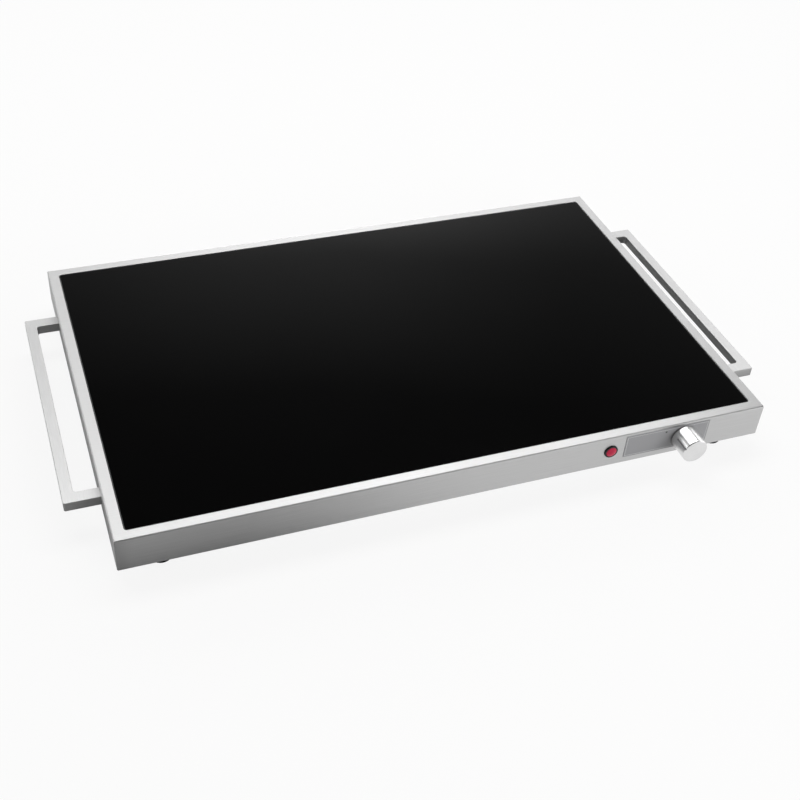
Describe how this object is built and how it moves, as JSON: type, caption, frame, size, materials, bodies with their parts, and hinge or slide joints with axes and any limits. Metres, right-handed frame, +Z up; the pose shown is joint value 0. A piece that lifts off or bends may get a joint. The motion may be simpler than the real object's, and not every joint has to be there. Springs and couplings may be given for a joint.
{
  "type": "electric food warmer tray",
  "caption": "Low electric warming tray: folded stainless frame, flush black glass top, two bar handles, turned knob with thermostat, pilot light, rear mains inlet and rubber feet.",
  "frame": {"origin": "centre of the frame's footprint, on the surface that the feet stand on", "axes": "+X to the right along the front, +Y to the back, +Z up; the knob is on the -Y side"},
  "size_m": [0.662, 0.412, 0.044],
  "materials": {
    "brushed_stainless": "horizontally brushed folded sheet",
    "satin_stainless": "satin bar",
    "black_glass": "gloss black toughened glass",
    "black_silicone": "satin silicone",
    "zinc_steel": "bright zinc plate",
    "galvanised_sheet": "galvanised sheet",
    "black_rubber": "matt rubber",
    "mica": "pressed mica sheet",
    "resistance_alloy": "rolled resistance ribbon",
    "ceramic_fibre": "ceramic fibre mat",
    "grey_label": "satin grey film",
    "knob_aluminium": "satin anodised",
    "black_nylon": "moulded nylon",
    "black_moulding": "moulded, fine texture",
    "brown_moulding": "thermoset moulding",
    "brass": "stamped brass",
    "copper": "drawn copper tube",
    "red_lens": "translucent red lens",
    "clear_lamp": "neon lamp",
    "steatite": "unglazed steatite",
    "brown_wire": "brown wire",
    "blue_wire": "blue wire",
    "green_yellow_wire": "green and yellow wire",
    "sleeved_wire": "glass fibre sleeve"
  },
  "bodies": {
    "tray": {"housing": "brushed_stainless", "glass_top": "black_glass", "glass_gasket": "black_silicone", "handle_left": "satin_stainless", "handle_right": "satin_stainless", "handle_screws": "zinc_steel", "handle_washers": "zinc_steel", "base_plate": "galvanised_sheet", "base_screws": "zinc_steel", "feet": "black_rubber", "foot_screws": "zinc_steel", "foot_nuts": "zinc_steel", "mica_upper": "mica", "heating_ribbon": "resistance_alloy", "mica_lower": "mica", "insulation_mat": "ceramic_fibre", "heat_shield": "galvanised_sheet", "shield_nuts": "zinc_steel", "control_label": "grey_label", "thermostat_nut": "brass", "thermostat_body": "zinc_steel", "thermostat_base": "brown_moulding", "thermostat_tabs": "brass", "sensor_bulb": "copper", "pilot_bezel": "black_moulding", "pilot_lens": "red_lens", "pilot_lamp": "clear_lamp", "pilot_nut": "black_nylon", "thermal_cutout": "black_moulding", "cutout_screws": "zinc_steel", "terminal_block": "steatite", "terminal_screws": "brass", "block_screw": "zinc_steel", "mains_inlet": "black_moulding", "inlet_pins": "brass", "inlet_screws": "zinc_steel", "line_wires": "brown_wire", "neutral_wire": "blue_wire", "earth_wire": "green_yellow_wire", "earth_nut": "zinc_steel", "lamp_wires": "sleeved_wire", "heater_leads": "sleeved_wire"},
    "knob": {"control_knob": "knob_aluminium", "knob_hub": "black_nylon", "thermostat_spindle": "zinc_steel"}
  },
  "joints": [
    {"name": "knob_turn", "type": "hinge", "parent": "tray", "child": "knob", "pos_m": [0.216, -0.2015, 0.0285], "axis": [0, 1, 0], "range_deg": [0, 270]}
  ]
}
